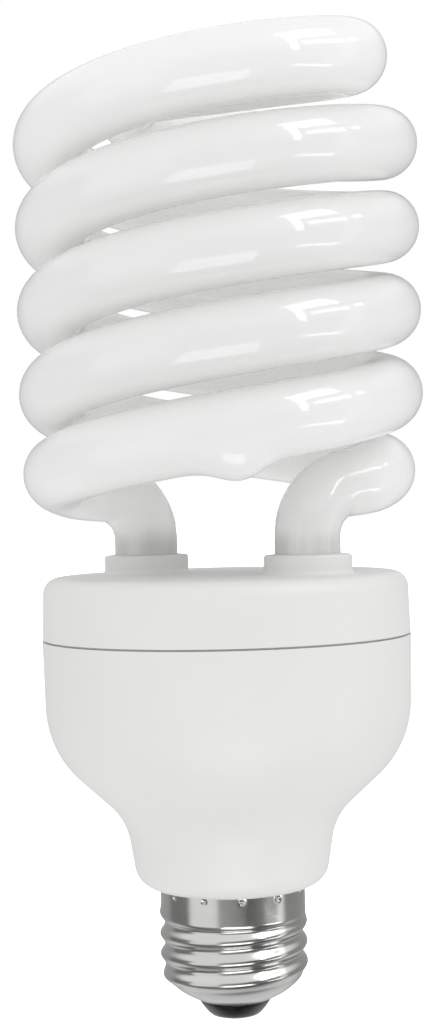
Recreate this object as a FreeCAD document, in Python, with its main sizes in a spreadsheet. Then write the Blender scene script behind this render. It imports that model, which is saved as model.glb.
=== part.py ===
# Spiral energy saving lamp with a screw cap, in millimetres.
# The origin is the centre of the contact's lower face. +Z points along the lamp's axis to the glass.
import FreeCAD
import Part
import Sketcher
import math
import os
import re

os.makedirs("parts", exist_ok=True)
doc = FreeCAD.newDocument("spiral_lamp")
Vector = FreeCAD.Vector

# Driving dimensions: lengths in millimetres, angles in degrees.
SIZES = {
    # Screw cap
    "cap_height": 23.7,
    "thread_pitch": 3.629,
    "thread_root_radius": 12.35,
    "thread_start_height": 7.85,
    "thread_end_drop": 4.963,
    "thread_flank_foot": 1.5,
    "thread_flank_rise": 0.5,
    "thread_crest_half": 0.85,
    "thread_crest_round": 1.2,
    "shell_wall": 0.4,
    "shell_cone_height": 7.4,
    "shell_knee_radius": 9.4,
    "shell_knee_height": 4.7,
    "shell_lip_radius": 6.8,
    "shell_lip_height": 3.4,
    "shell_band_radius": 12.95,
    "shell_band_height": 4.6,
    "shell_step_height": 0.6,
    "stake_count": 12,
    "stake_radius": 0.65,
    "stake_depth": 0.25,
    "stake_drop": 0.85,
    "insulator_foot_radius": 4.4,
    "insulator_top_height": 6.6,
    "contact_radius": 3.3,
    "contact_thickness": 0.95,
    "contact_proud": 0.35,
    "contact_edge_round": 0.6,
    "contact_shank_radius": 1.1,
    "contact_shank_rise": 0.4,
    "fit_gap": 0.1,
    # Ballast housing
    "housing_height": 44.3,
    "housing_wall": 1.9,
    "rim_radius": 32.9,
    "belly_inset": 0.25,
    "shoulder_drop": 11.5,
    "shoulder_round": 17.8,
    "cone_angle": 47,
    "neck_round": 12.0,
    "neck_angle": 9,
    "neck_low_radius": 17.4,
    "neck_corner_round": 4.0,
    "stub_length": 13.3,
    "stub_wall": 1.65,
    "rib_count": 6,
    "rib_width": 1.4,
    "rib_reach": 2.6,
    "rib_length": 14.0,
    "rib_slope_height": 5.5,
    # Top cover
    "cover_height": 11.2,
    "cover_wall": 2.0,
    "cover_top_inset": 0.3,
    "cover_seam_inset": 0.05,
    "cover_edge_round": 2.8,
    "seam_gap": 0.35,
    "seam_land": 1.0,
    "spigot_depth": 4.0,
    "spigot_wall": 1.5,
    "spigot_rise": 3.0,
    "bead_proud": 0.3,
    "bead_half_height": 0.5,
    "bead_drop": 1.9,
    "collar_radius": 7.7,
    "collar_height": 3.4,
    "collar_foot_round": 0.9,
    "collar_edge_round": 0.5,
    "cement_gap": 0.9,
    "cement_crown": 0.15,
    # Glass spiral
    "tube_diameter": 12.7,
    "leg_diameter": 11.5,
    "coil_radius": 29.6,
    "coil_spacing": 14.7,
    "coil_rise": 13.9,
    "coil_front_end_angle": 852,
    "coil_back_end_angle": 828,
    "bridge_round": 11.0,
    "leg_circle": 17.2,
    "leg_angle": 33,
    "leg_depth": 7.6,
    "bend_round_coil": 12.0,
    "bend_dip_angle": 7,
    "bend_round_leg": 9.5,
    "taper_length": 2.0,
    "pinch_width": 8.0,
    "pinch_thickness": 2.6,
    "pinch_height": 4.5,
    "bulge_half_length": 7.1,
    "bulge_radius": 6.0,
    "bulge_offset": 2.55,
    "bulge_angle": 94,
    "bulge_tilt_angle": 58,
    # Board and the pieces on it
    "board_thickness": 1.6,
    "board_gap": 0.4,
    "pin_width": 0.9,
    "pin_rise": 4.5,
    "lead_radius": 0.3,
    "lead_spread": 2.2,
    "bulk_radius": 8.0,
    "bulk_length": 30.0,
    "bulk_edge_round": 0.8,
    "bulk_groove_depth": 0.6,
    "bulk_groove_drop": 2.6,
    "bulk_groove_half": 0.7,
    "choke_centre": 17.5,
    "core_width": 19.0,
    "core_height": 15.0,
    "core_thickness": 5.5,
    "core_yoke": 2.5,
    "core_outer_leg": 2.8,
    "core_centre_leg": 5.0,
    "winding_depth": 13.0,
    "drum_radius": 4.2,
    "drum_length": 11.0,
    "drum_flange": 1.5,
    "drum_waist_radius": 3.4,
    "drum_across": 12.0,
    "drum_along": 14.0,
    "toroid_radius": 4.8,
    "toroid_bore_radius": 2.5,
    "toroid_length": 5.0,
    "toroid_edge_round": 0.6,
    "toroid_across": 13.5,
    "toroid_along": 14.0,
    "film_edge_round": 0.8,
    "film_along": 2.0,
    "resonance_width": 5.5,
    "resonance_depth": 12.0,
    "resonance_height": 10.0,
    "resonance_across": 17.5,
    "coupling_width": 4.4,
    "coupling_depth": 10.0,
    "coupling_height": 9.0,
    "coupling_across": 23.2,
    "case_width": 8.0,
    "case_depth": 3.2,
    "case_height": 11.0,
    "case_across": 2.0,
    "case_near_along": 16.0,
    "case_far_along": 21.5,
    "tab_hole_radius": 1.6,
    "tab_hole_rise": 3.0,
    "axial_lead_radius": 0.35,
    "axial_post_radius": 0.3,
    "axial_lead_reach": 1.2,
    "diode_radius": 1.35,
    "diode_length": 5.2,
    "diode_left_across": 11.0,
    "diode_right_across": 1.0,
    "diode_near_along": 15.5,
    "diode_far_along": 19.5,
    "resistor_radius": 1.15,
    "resistor_length": 6.3,
    "resistor_across": 9.0,
    "resistor_near_along": 13.5,
    "resistor_spacing": 4.0,
    "resistor_count": 3,
    "diac_radius": 0.95,
    "diac_length": 4.0,
    "diac_across": 19.5,
    "diac_along": 13.5,
    "wire_radius": 0.6,
    "wire_circle": 9.2,
    "wire_bend_round": 2.0,
    "fuse_radius": 2.0,
    "fuse_length": 11.0,
    "fuse_low_height": 12.0,
    "cross_run_height": 27.5,
    "neutral_end_height": 7.65,
    "neutral_end_circle": 11.1,
}

sheet = doc.addObject("Spreadsheet::Sheet", "Sizes")
for row, (size_name, number) in enumerate(SIZES.items(), start=1):
    sheet.set(f"A{row}", size_name)
    sheet.set(f"B{row}", str(number))
    sheet.setAlias(f"B{row}", size_name)
doc.recompute()


def formula(text):
    """Gives each sheet name in a formula its sheet, so that any object can use the formula."""
    return re.sub(r"\b[a-z]+(?:_[a-z]+)+\b", lambda word: "Sizes." + word.group(0), text)


def size(text):
    """Works out a formula of sheet names as a number."""
    return float(sheet.evalExpression(formula(text)))


def bind(thing, formulas):
    """Binds properties of an object to formulas of sheet names."""
    for path, text in formulas.items():
        thing.setExpression(path, formula(text))


def place(thing, across, depth, height):
    """Puts an object's own origin at three formulas."""
    bind(thing, {"Placement.Base.x": across, "Placement.Base.y": depth, "Placement.Base.z": height})


# Heights of the main joints, from the contact up.
SEAM = "(cap_height + housing_height)"
COVER_TOP = "(cap_height + housing_height + cover_height)"
COLLAR_TOP = "(cap_height + housing_height + cover_height + collar_height)"
LEG_END = "(cap_height + housing_height + cover_height + collar_height - leg_depth)"
PINCH_END = "(cap_height + housing_height + cover_height + collar_height - leg_depth - pinch_height)"
COIL_LOW = "(cap_height + housing_height + cover_height + collar_height + coil_rise)"
BOARD_TOP = "(cap_height + housing_height - spigot_depth)"
BOARD_LOW = "(cap_height + housing_height - spigot_depth - board_thickness)"
LEG_X = "(leg_circle * cos(leg_angle))"
LEG_Y = "(leg_circle * sin(leg_angle))"
LEG_SIDES = (1, -1)

# Outer radii of the housing and the cover, which follow the rim.
BELLY_R = "(rim_radius - belly_inset)"
COVER_SEAM_R = "(rim_radius - cover_seam_inset)"
COVER_TOP_R = "(rim_radius - cover_top_inset)"


def new_body(name):
    """Adds an empty body that carries a sub-part's name."""
    body = doc.addObject("PartDesign::Body", name)
    body.Label = name
    return body


def new_sketch(body, name, role, offset="0"):
    """Adds a sketch on one of the body's own planes, raised by a formula."""
    sketch = body.newObject("Sketcher::SketchObject", name)
    plane = next(feature for feature in body.Origin.OriginFeatures if feature.Role == role)
    sketch.AttachmentSupport = [(plane, "")]
    sketch.MapMode = "FlatFace"
    bind(sketch, {"AttachmentOffset.Base.z": offset})
    return sketch


def pin_point(sketch, side, end, across, up):
    """Holds one point of a sketch at two formulas, measured from the sketch's origin."""
    for kind, axis, text in (("DistanceX", -2, across), ("DistanceY", -1, up)):
        distance = size(text)
        if distance == 0:
            sketch.addConstraint(Sketcher.Constraint("PointOnObject", side, end, axis))
        elif distance > 0:
            index = sketch.addConstraint(Sketcher.Constraint(kind, -1, 1, side, end, distance))
            bind(sketch, {f"Constraints[{index}]": text})
        else:
            index = sketch.addConstraint(Sketcher.Constraint(kind, side, end, -1, 1, -distance))
            bind(sketch, {f"Constraints[{index}]": f"-({text})"})


def angle_of(vector):
    return math.atan2(vector.y, vector.x)


def draw_outline(sketch, corners):
    """Draws a closed outline. A corner is (across, up), or (across, up, turn, radius) where the side
    that leaves it is an arc: turn is 1 for an arc to the left and -1 for one to the right."""
    points = [Vector(size(corner[0]), size(corner[1]), 0) for corner in corners]
    sides = []
    for index, corner in enumerate(corners):
        start = points[index]
        stop = points[(index + 1) % len(points)]
        if len(corner) == 2:
            side = sketch.addGeometry(Part.LineSegment(start, stop))
            sides.append((side, 1, 2))
            continue
        turn, radius_text = corner[2:]
        radius = size(radius_text)
        chord = stop - start
        left = Vector(-chord.y, chord.x, 0).normalize()
        centre = (start + stop) / 2 + left * (turn * math.sqrt(radius**2 - chord.Length**2 / 4))
        first, last = (start, stop) if turn > 0 else (stop, start)
        circle = Part.Circle(centre, Vector(0, 0, 1), radius)
        arc = Part.ArcOfCircle(circle, angle_of(first - centre), angle_of(last - centre))
        side = sketch.addGeometry(arc)
        sides.append((side, 1, 2) if turn > 0 else (side, 2, 1))
        bound = sketch.addConstraint(Sketcher.Constraint("Radius", side, radius))
        bind(sketch, {f"Constraints[{bound}]": radius_text})
    for index, (side, start_end, stop_end) in enumerate(sides):
        next_side, next_end, _ = sides[(index + 1) % len(sides)]
        sketch.addConstraint(Sketcher.Constraint("Coincident", side, stop_end, next_side, next_end))
        pin_point(sketch, side, start_end, corners[index][0], corners[index][1])


def draw_circle(sketch, across, up, radius):
    """Draws a circle whose centre and radius are formulas."""
    circle = Part.Circle(Vector(size(across), size(up), 0), Vector(0, 0, 1), size(radius))
    side = sketch.addGeometry(circle)
    bound = sketch.addConstraint(Sketcher.Constraint("Radius", side, size(radius)))
    bind(sketch, {f"Constraints[{bound}]": radius})
    pin_point(sketch, side, 3, across, up)


def turned_body(name, corners):
    """Makes a body by turning a half outline, given as (radius, height), about the vertical axis."""
    body = new_body(name)
    sketch = new_sketch(body, name + "_profile", "XZ_Plane")
    draw_outline(sketch, corners)
    turning = body.newObject("PartDesign::Revolution", name + "_turned")
    turning.Profile = sketch
    turning.ReferenceAxis = (sketch, ["V_Axis"])
    turning.Angle = 360
    return body


def repeat_around(body, name, feature, count):
    """Repeats a feature of a body evenly around its vertical axis."""
    pattern = body.newObject("PartDesign::PolarPattern", name)
    pattern.Originals = [feature]
    axis = next(item for item in body.Origin.OriginFeatures if item.Role == "Z_Axis")
    pattern.Axis = (axis, [""])
    pattern.Angle = 360
    bind(pattern, {"Occurrences": count})
    body.Tip = pattern


def round_edges(body, name, chosen, radius):
    """Rounds the edges of a body's last feature that the chosen test picks."""
    doc.recompute()
    edges = [f"Edge{index}" for index, edge in enumerate(body.Shape.Edges, start=1) if chosen(edge)]
    rounded = body.Tip
    fillet = body.newObject("PartDesign::Fillet", name)
    fillet.Base = (rounded, edges)
    bind(fillet, {"Radius": radius})
    body.Tip = fillet


def block(name, width, depth, height, across, along, low):
    """Adds an upright box, placed by the middle of its lower face."""
    box = doc.addObject("Part::Box", name)
    bind(box, {"Length": width, "Width": depth, "Height": height})
    place(box, f"{across} - ({width}) / 2", f"{along} - ({depth}) / 2", low)
    return box


def rod(name, radius, height):
    """Adds a round bar that stands on its own Z."""
    cylinder = doc.addObject("Part::Cylinder", name)
    bind(cylinder, {"Radius": radius, "Height": height})
    return cylinder


def cut(name, base, tools):
    """Cuts one or more tools out of a base."""
    result = doc.addObject("Part::Cut", name)
    result.Label = name
    result.Base = base
    result.Tool = tools[0]
    if len(tools) > 1:
        joined = doc.addObject("Part::MultiFuse", name + "_tools")
        joined.Shapes = tools
        result.Tool = joined
    return result


def fuse(name, shapes):
    """Joins shapes into one solid."""
    result = doc.addObject("Part::MultiFuse", name)
    result.Label = name
    result.Shapes = shapes
    return result


nodes = []

# Contact: a pressed disc with a rivet shank that goes up through the insulator.
SHANK_TOP = "(insulator_top_height + contact_shank_rise)"
nodes.append(turned_body("centre_contact", [
    ("0", "0"),
    ("contact_radius - contact_edge_round", "0", 1, "contact_edge_round"),
    ("contact_radius", "contact_edge_round"),
    ("contact_radius", "contact_thickness"),
    ("contact_shank_radius", "contact_thickness"),
    ("contact_shank_radius", SHANK_TOP),
    ("0", SHANK_TOP),
]))

# Insulator: black glass, a blunt cone below the shell's lip and a plug that fills the shell's cone.
CONE_SLOPE = "((thread_root_radius - shell_knee_radius) / (shell_cone_height - shell_knee_height))"
INSULATOR_SEAT = "(shell_wall * 1.3 + fit_gap)"
INSULATOR_TOP_RADIUS = (
    f"(shell_knee_radius + (insulator_top_height - shell_knee_height - {INSULATOR_SEAT}) * {CONE_SLOPE})"
)
nodes.append(turned_body("cap_insulator", [
    ("contact_radius + fit_gap", "contact_proud"),
    ("insulator_foot_radius", "contact_proud"),
    ("shell_lip_radius - fit_gap", "shell_lip_height"),
    ("shell_lip_radius - fit_gap", f"shell_lip_height + {INSULATOR_SEAT}"),
    ("shell_knee_radius", f"shell_knee_height + {INSULATOR_SEAT}"),
    (INSULATOR_TOP_RADIUS, "insulator_top_height"),
    ("contact_shank_radius + fit_gap", "insulator_top_height"),
    ("contact_shank_radius + fit_gap", "contact_thickness"),
    ("contact_radius + fit_gap", "contact_thickness"),
]))

# Screw shell: thin plated sheet with a rolled right-hand thread, a plain band and a coned foot.
SHELL_RISE = "(shell_wall * 1.3)"
BAND_LOW = "(cap_height - shell_band_height)"
shell = turned_body("screw_shell", [
    ("shell_lip_radius", "shell_lip_height"),
    ("shell_knee_radius", "shell_knee_height"),
    ("thread_root_radius", "shell_cone_height"),
    ("thread_root_radius", f"{BAND_LOW} - shell_step_height"),
    ("shell_band_radius", BAND_LOW),
    ("shell_band_radius", "cap_height"),
    ("shell_band_radius - shell_wall", "cap_height"),
    ("shell_band_radius - shell_wall", BAND_LOW),
    ("thread_root_radius - shell_wall", f"{BAND_LOW} - shell_step_height"),
    ("thread_root_radius - shell_wall", f"shell_cone_height + {SHELL_RISE} - shell_wall / {CONE_SLOPE}"),
    ("shell_knee_radius", f"shell_knee_height + {SHELL_RISE}"),
    ("shell_lip_radius", f"shell_lip_height + {SHELL_RISE}"),
])

# The thread's rounded ridge, swept up the right-hand helix until it runs into the plain band.
THREAD_RUN = "(cap_height - thread_end_drop - thread_start_height)"
FLANK_R = "thread_root_radius + thread_flank_rise"
SUNK_R = "thread_root_radius - shell_wall / 4"
thread_sketch = new_sketch(shell, "thread_outline", "XZ_Plane")
draw_outline(thread_sketch, [
    (SUNK_R, "thread_start_height - thread_flank_foot"),
    ("thread_root_radius", "thread_start_height - thread_flank_foot"),
    (FLANK_R, "thread_start_height - thread_crest_half", 1, "thread_crest_round"),
    (FLANK_R, "thread_start_height + thread_crest_half"),
    ("thread_root_radius", "thread_start_height + thread_flank_foot"),
    (SUNK_R, "thread_start_height + thread_flank_foot"),
])
thread = shell.newObject("PartDesign::AdditiveHelix", "thread")
thread.Profile = thread_sketch
thread.ReferenceAxis = (thread_sketch, ["V_Axis"])
thread.Mode = "pitch-turns-angle"
bind(thread, {"Pitch": "thread_pitch", "Turns": f"{THREAD_RUN} / thread_pitch"})

# Punch marks below the shell's top edge, which stake it to the housing's stub.
stake_sketch = new_sketch(shell, "stake_outline", "YZ_Plane", "shell_band_radius - stake_depth")
draw_circle(stake_sketch, "0", "cap_height - stake_drop", "stake_radius")
stake = shell.newObject("PartDesign::Pocket", "stake")
stake.Profile = stake_sketch
stake.Reversed = True
bind(stake, {"Length": "stake_depth * 2"})
repeat_around(shell, "stakes", stake, "stake_count")
shell.Placement.Rotation = FreeCAD.Rotation(Vector(0, 0, 1), 180)
nodes.append(shell)

# Ballast housing: a moulded cup whose neck ends in a stub that fits inside the screw shell.
SHOULDER = f"({SEAM} - shoulder_drop)"
CONE_TOP_R = f"({BELLY_R} - shoulder_round * (1 - cos(cone_angle)))"
CONE_TOP_Z = f"({SHOULDER} - shoulder_round * sin(cone_angle))"
NECK_LOW_Z = "(cap_height + neck_corner_round * (1 - sin(neck_angle)))"
CORNER_R = "(neck_low_radius - neck_corner_round * cos(neck_angle))"
TURN_R = "(neck_round * (cos(neck_angle) - cos(cone_angle)))"
TURN_Z = "(neck_round * (sin(cone_angle) - sin(neck_angle)))"
CONE_DROP = f"({CONE_TOP_Z} - {NECK_LOW_Z} - {TURN_Z})"
NECK_RUN = (
    f"((neck_low_radius + {TURN_R} - {CONE_TOP_R} + {CONE_DROP} * tan(cone_angle))"
    " / (tan(cone_angle) - tan(neck_angle)))"
)
NECK_TOP_R = f"(neck_low_radius + {NECK_RUN} * tan(neck_angle))"
NECK_TOP_Z = f"({NECK_LOW_Z} + {NECK_RUN})"
CONE_LOW_R = f"({NECK_TOP_R} + {TURN_R})"
CONE_LOW_Z = f"({NECK_TOP_Z} + {TURN_Z})"
CONE_IN = "housing_wall * cos(cone_angle)"
CONE_UP = "housing_wall * sin(cone_angle)"
NECK_IN = "housing_wall * cos(neck_angle)"
NECK_UP = "housing_wall * sin(neck_angle)"
STUB_LOW = "(cap_height - stub_length)"
STUB_R = "(thread_root_radius - shell_wall - fit_gap)"
RIM_IN = "(rim_radius - housing_wall)"
BEAD_Z = f"({SEAM} - bead_drop)"
housing = turned_body("ballast_housing", [
    ("rim_radius", SEAM),
    (RIM_IN, SEAM),
    (RIM_IN, f"{BEAD_Z} + bead_half_height + bead_proud"),
    (f"{RIM_IN} + bead_proud", BEAD_Z),
    (RIM_IN, f"{BEAD_Z} - bead_half_height - bead_proud"),
    (f"{BELLY_R} - housing_wall", SHOULDER, -1, "shoulder_round - housing_wall"),
    (f"{CONE_TOP_R} - {CONE_IN}", f"{CONE_TOP_Z} + {CONE_UP}"),
    (f"{CONE_LOW_R} - {CONE_IN}", f"{CONE_LOW_Z} + {CONE_UP}", 1, "neck_round + housing_wall"),
    (f"{NECK_TOP_R} - {NECK_IN}", f"{NECK_TOP_Z} + {NECK_UP}"),
    (f"neck_low_radius - {NECK_IN}", f"{NECK_LOW_Z} + {NECK_UP}", -1, "neck_corner_round - housing_wall"),
    (CORNER_R, "cap_height + housing_wall"),
    (f"{STUB_R} - stub_wall", "cap_height + housing_wall"),
    (f"{STUB_R} - stub_wall", STUB_LOW),
    (STUB_R, STUB_LOW),
    (STUB_R, "cap_height"),
    (CORNER_R, "cap_height", 1, "neck_corner_round"),
    ("neck_low_radius", NECK_LOW_Z),
    (NECK_TOP_R, NECK_TOP_Z, -1, "neck_round"),
    (CONE_LOW_R, CONE_LOW_Z),
    (CONE_TOP_R, CONE_TOP_Z, 1, "shoulder_round"),
    (BELLY_R, SHOULDER),
])

# Upright ribs inside the cup, whose tops carry the circuit board.
rib_sketch = new_sketch(housing, "rib_outline", "XZ_Plane", "-rib_width / 2")
draw_outline(rib_sketch, [
    (f"{RIM_IN} - rib_reach", BOARD_LOW),
    (f"{RIM_IN} - rib_reach", f"{BOARD_LOW} - rib_length"),
    (f"{RIM_IN} + fit_gap", f"{BOARD_LOW} - rib_length + rib_slope_height"),
    (f"{RIM_IN} + fit_gap", BOARD_LOW),
])
rib = housing.newObject("PartDesign::Pad", "rib")
rib.Profile = rib_sketch
bind(rib, {"Length": "rib_width"})
repeat_around(housing, "ribs", rib, "rib_count")
nodes.append(housing)

# Top cover: a shallow moulded cap with a snap spigot and two collars for the glass legs.
SPIGOT_R = f"({RIM_IN} - fit_gap)"
SPIGOT_IN = f"({RIM_IN} - fit_gap - spigot_wall)"
COVER_IN = f"({COVER_TOP} - cover_wall)"
cover = turned_body("top_cover", [
    ("0", COVER_TOP),
    ("0", COVER_IN),
    (SPIGOT_R, COVER_IN),
    (SPIGOT_R, f"{SEAM} + spigot_rise + spigot_wall"),
    (SPIGOT_IN, f"{SEAM} + spigot_rise"),
    (SPIGOT_IN, BOARD_TOP),
    (SPIGOT_R, BOARD_TOP),
    (SPIGOT_R, f"{BEAD_Z} - bead_half_height"),
    (f"{SPIGOT_R} + bead_proud", BEAD_Z),
    (SPIGOT_R, f"{BEAD_Z} + bead_half_height"),
    (SPIGOT_R, SEAM),
    (f"{SPIGOT_R} + seam_land", SEAM),
    (f"{SPIGOT_R} + seam_land", f"{SEAM} + seam_gap"),
    (COVER_SEAM_R, f"{SEAM} + seam_gap"),
    (COVER_TOP_R, f"{COVER_TOP} - cover_edge_round", 1, "cover_edge_round"),
    (f"{COVER_TOP_R} - cover_edge_round", COVER_TOP),
])
collar_sketch = new_sketch(cover, "collar_outline", "XY_Plane", f"{COVER_TOP} - cover_wall / 2")
bore_sketch = new_sketch(cover, "leg_bore_outline", "XY_Plane", COLLAR_TOP)
for side in LEG_SIDES:
    draw_circle(collar_sketch, f"{side} * {LEG_X}", f"{-side} * {LEG_Y}", "collar_radius")
    draw_circle(bore_sketch, f"{side} * {LEG_X}", f"{-side} * {LEG_Y}", "leg_diameter / 2 + cement_gap")
collars = cover.newObject("PartDesign::Pad", "collars")
collars.Profile = collar_sketch
bind(collars, {"Length": "collar_height + cover_wall / 2"})
bores = cover.newObject("PartDesign::Pocket", "leg_bores")
bores.Profile = bore_sketch
bind(bores, {"Length": "collar_height + cover_wall * 2"})


def collar_edge(height):
    """Picks the outer collar circles at one height."""
    level = size(height)
    radius = size("collar_radius")

    def chosen(edge):
        curve = edge.Curve
        if not isinstance(curve, Part.Circle):
            return False
        return abs(curve.Radius - radius) < 1e-4 and abs(curve.Center.z - level) < 1e-4

    return chosen


round_edges(cover, "collar_foot", collar_edge(COVER_TOP), "collar_foot_round")
round_edges(cover, "collar_rim", collar_edge(COLLAR_TOP), "collar_edge_round")
nodes.append(cover)

# Glass spiral: one tube, from a leg through a double helix and a bridge over the axis to the other leg.
coil_radius = size("coil_radius")
coil_spacing = size("coil_spacing")
coil_low = size(COIL_LOW)
tube_radius = size("tube_diameter / 2")
leg_radius = size("leg_diameter / 2")
coil_climb = math.atan2(coil_spacing, math.pi * coil_radius)


def coil_height(turn):
    return coil_low + coil_spacing * turn / 180


def coil_outward(turn):
    """The level direction from the axis at an angle in degrees."""
    return Vector(math.cos(math.radians(turn)), math.sin(math.radians(turn)), 0)


def coil_point(turn):
    """A point of the helix's centre line."""
    return coil_outward(turn) * coil_radius + Vector(0, 0, coil_height(turn))


def coil_direction(turn):
    """The direction in which the helix climbs."""
    return coil_outward(turn + 90) * math.cos(coil_climb) + Vector(0, 0, math.sin(coil_climb))


def half_turned(point):
    """The same place or direction on the other side of the lamp's axis."""
    return Vector(-point.x, -point.y, point.z)


def tube_disc(centre, along, radius):
    return Part.Face(Part.Wire([Part.Circle(centre, along, radius).toShape()]))


def bent_tube(start, along, towards, bend_round, turn, radius):
    """A stretch of tube that bends from one direction towards another. Gives it and where it ends."""
    centre = start + towards * bend_round
    axis = along.cross(towards)
    solid = tube_disc(start, along, radius).revolve(centre, axis, turn)
    rotation = FreeCAD.Rotation(axis, turn)
    return solid, centre + rotation.multVec(start - centre), rotation.multVec(along)


# Below the coil the tube bends inward and dips, narrows, and bends down into the leg.
bend_round_coil = size("bend_round_coil")
bend_round_leg = size("bend_round_leg")
bend_dip = math.radians(size("bend_dip_angle"))
taper_length = size("taper_length")
down = Vector(0, 0, -1)


def leg_run(start_turn, bend_turn):
    """The bend, the taper and the knee between the coil and a leg, and the top of that leg."""
    start = coil_point(start_turn)
    leaving = -coil_direction(start_turn)
    inward = -coil_outward(start_turn)
    towards = inward * math.cos(bend_dip) + leaving.cross(inward) * math.sin(bend_dip)
    curl, spot, along = bent_tube(start, leaving, towards, bend_round_coil, bend_turn, tube_radius)
    taper = Part.makeCone(tube_radius, leg_radius, taper_length, spot, along)
    spot = spot + along * taper_length
    square_down = (down - along * along.dot(down)).normalize()
    knee_turn = math.degrees(along.getAngle(down))
    knee, leg_top, _ = bent_tube(spot, along, square_down, bend_round_leg, knee_turn, leg_radius)
    return curl, taper, knee, leg_top


# The bend turns until the leg comes down on its circle, found by halving the range.
least_turn = 0.0
most_turn = 140.0
for _ in range(50):
    bend_turn = (least_turn + most_turn) / 2
    leg_top = leg_run(0, bend_turn)[-1]
    if math.hypot(leg_top.x, leg_top.y) > size("leg_circle"):
        least_turn = bend_turn
    else:
        most_turn = bend_turn
start_turn = -math.degrees(math.atan2(leg_top.y, leg_top.x)) - size("leg_angle")
curl, taper, knee, leg_top = leg_run(start_turn, bend_turn)
leg = Part.makeCylinder(leg_radius, leg_top.z - size(LEG_END), leg_top, down)


def coil_tube(end_turn):
    """The tube along the helix, from the bend above a leg up to one end of the bridge."""
    helix = Part.makeHelix(2 * coil_spacing, coil_height(end_turn) - coil_height(start_turn), coil_radius)
    helix.rotate(Vector(0, 0, 0), Vector(0, 0, 1), start_turn)
    helix.translate(Vector(0, 0, coil_height(start_turn)))
    section = Part.Circle(coil_point(start_turn), coil_direction(start_turn), tube_radius)
    return Part.Wire(helix.Edges).makePipeShell([Part.Wire([section.toShape()])], True, True)


# Above the coil each end bends in once, and a straight tube over the axis joins the two bends.
bridge_round = size("bridge_round")
front_turn = size("coil_front_end_angle")
back_turn = size("coil_back_end_angle")
front_end = half_turned(coil_point(front_turn))
front_along = half_turned(coil_direction(front_turn))
back_end = coil_point(back_turn)
back_along = coil_direction(back_turn)


def bend_leave(spot, along, onward):
    """Where a bend of the bridge has turned from one direction to another."""
    return spot + (along + onward) * bridge_round * math.tan(along.getAngle(onward) / 2)


def bridge_bend(spot, along, onward):
    """A bend of the bridge, from the end of a coil to the straight tube."""
    towards = (onward - along * along.dot(onward)).normalize()
    turn = math.degrees(along.getAngle(onward))
    return bent_tube(spot, along, towards, bridge_round, turn, tube_radius)[0]


# The straight tube's direction decides where both bends end, so it is closed in on step by step.
onward = (back_end - front_end).normalize()
for _ in range(200):
    front_leave = bend_leave(front_end, front_along, onward)
    back_leave = bend_leave(back_end, back_along, -onward)
    onward = (onward + (back_leave - front_leave).normalize()).normalize()
bridge = Part.makeCylinder(tube_radius, front_leave.distanceToPoint(back_leave), front_leave, onward)
front_coil = coil_tube(front_turn)
front_coil.rotate(Vector(0, 0, 0), Vector(0, 0, 1), 180)
glass_run = [
    bridge,
    bridge_bend(front_end, front_along, onward),
    bridge_bend(back_end, back_along, -onward),
    front_coil,
    coil_tube(back_turn),
]
for piece in (curl, taper, knee, leg):
    other = piece.copy()
    other.rotate(Vector(0, 0, 0), Vector(0, 0, 1), 180)
    glass_run += [piece, other]
glass_tube = doc.addObject("Part::Feature", "glass_tube")
glass_tube.Shape = glass_run[0].multiFuse(glass_run[1:])
glass_pieces = [glass_tube]

# The flat pinched ends that seal the legs.
for index, side in enumerate(LEG_SIDES, start=1):
    pinch_spot = (f"{side} * {LEG_X}", f"{-side} * {LEG_Y}", PINCH_END)
    pinch = block(f"pinch_{index}", "pinch_width", "pinch_thickness", "pinch_height", *pinch_spot)
    glass_pieces.append(pinch)

# A bump blown out of the lowest front turn.
bulge = doc.addObject("Part::Ellipsoid", "cold_spot_bulge")
bind(bulge, {"Radius1": "bulge_radius", "Radius2": "bulge_half_length", "Radius3": "bulge_radius"})
bulge_angle = size("bulge_angle")
bulge_tilt_angle = math.radians(size("bulge_tilt_angle"))
bulge_outward = half_turned(coil_outward(bulge_angle))
bulge_lean = bulge_outward * math.cos(bulge_tilt_angle) + down * math.sin(bulge_tilt_angle)
bulge_centre = half_turned(coil_point(bulge_angle)) + bulge_lean * size("bulge_offset")
bulge_along = FreeCAD.Rotation(Vector(1, 0, 0), half_turned(coil_direction(bulge_angle)))
bulge.Placement = FreeCAD.Placement(bulge_centre, bulge_along)
glass_pieces.append(bulge)
nodes.append(fuse("glass_spiral", glass_pieces))

# Cement: a ring between each leg and its collar, with a low crown where it was wiped off.
for index, side in enumerate(LEG_SIDES, start=1):
    cement = turned_body(f"leg_cement_{index}", [
        ("leg_diameter / 2", f"{COVER_IN}"),
        ("leg_diameter / 2 + cement_gap", f"{COVER_IN}"),
        ("leg_diameter / 2 + cement_gap", COLLAR_TOP),
        ("leg_diameter / 2", f"{COLLAR_TOP} + cement_crown"),
    ])
    bind(cement, {"Placement.Base.x": f"{side} * {LEG_X}", "Placement.Base.y": f"{-side} * {LEG_Y}"})
    nodes.append(cement)

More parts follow.
